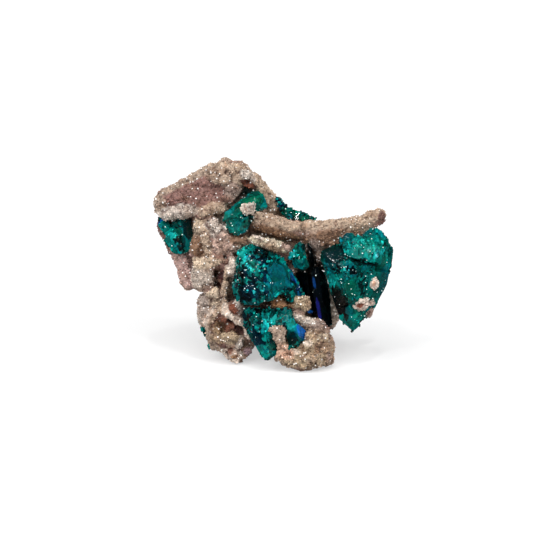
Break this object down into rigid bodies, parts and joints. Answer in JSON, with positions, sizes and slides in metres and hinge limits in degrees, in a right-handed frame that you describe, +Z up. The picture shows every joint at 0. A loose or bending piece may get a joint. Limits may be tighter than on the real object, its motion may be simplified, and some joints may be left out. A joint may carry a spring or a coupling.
{
  "type": "dioptase mineral specimen",
  "caption": "Miniature mineral specimen: glassy green dioptase crystals on a rough, druse-coated stone matrix with a long fin, standing free.",
  "frame": {"origin": "under the middle of the specimen's bounding box, on the surface it stands on", "axes": "+Z up, +X to the right seen from the display side, -Y towards the viewer of the display side"},
  "size_m": [0.048, 0.0318, 0.0398],
  "materials": {
    "druse_matrix": "druse of fine quartz, glittering",
    "dioptase": "vitreous"
  },
  "bodies": {
    "root": {"matrix": "druse_matrix", "dioptase_right": "dioptase", "dioptase_centre": "dioptase", "dioptase_lower": "dioptase", "dioptase_small": "dioptase", "dioptase_dark": "dioptase", "dioptase_upper": "dioptase", "dioptase_left": "dioptase", "dioptase_ridge": "dioptase", "dioptase_edge": "dioptase", "dioptase_rear_upper": "dioptase", "dioptase_rear_lower": "dioptase", "dioptase_rear_side": "dioptase"}
  },
  "joints": []
}
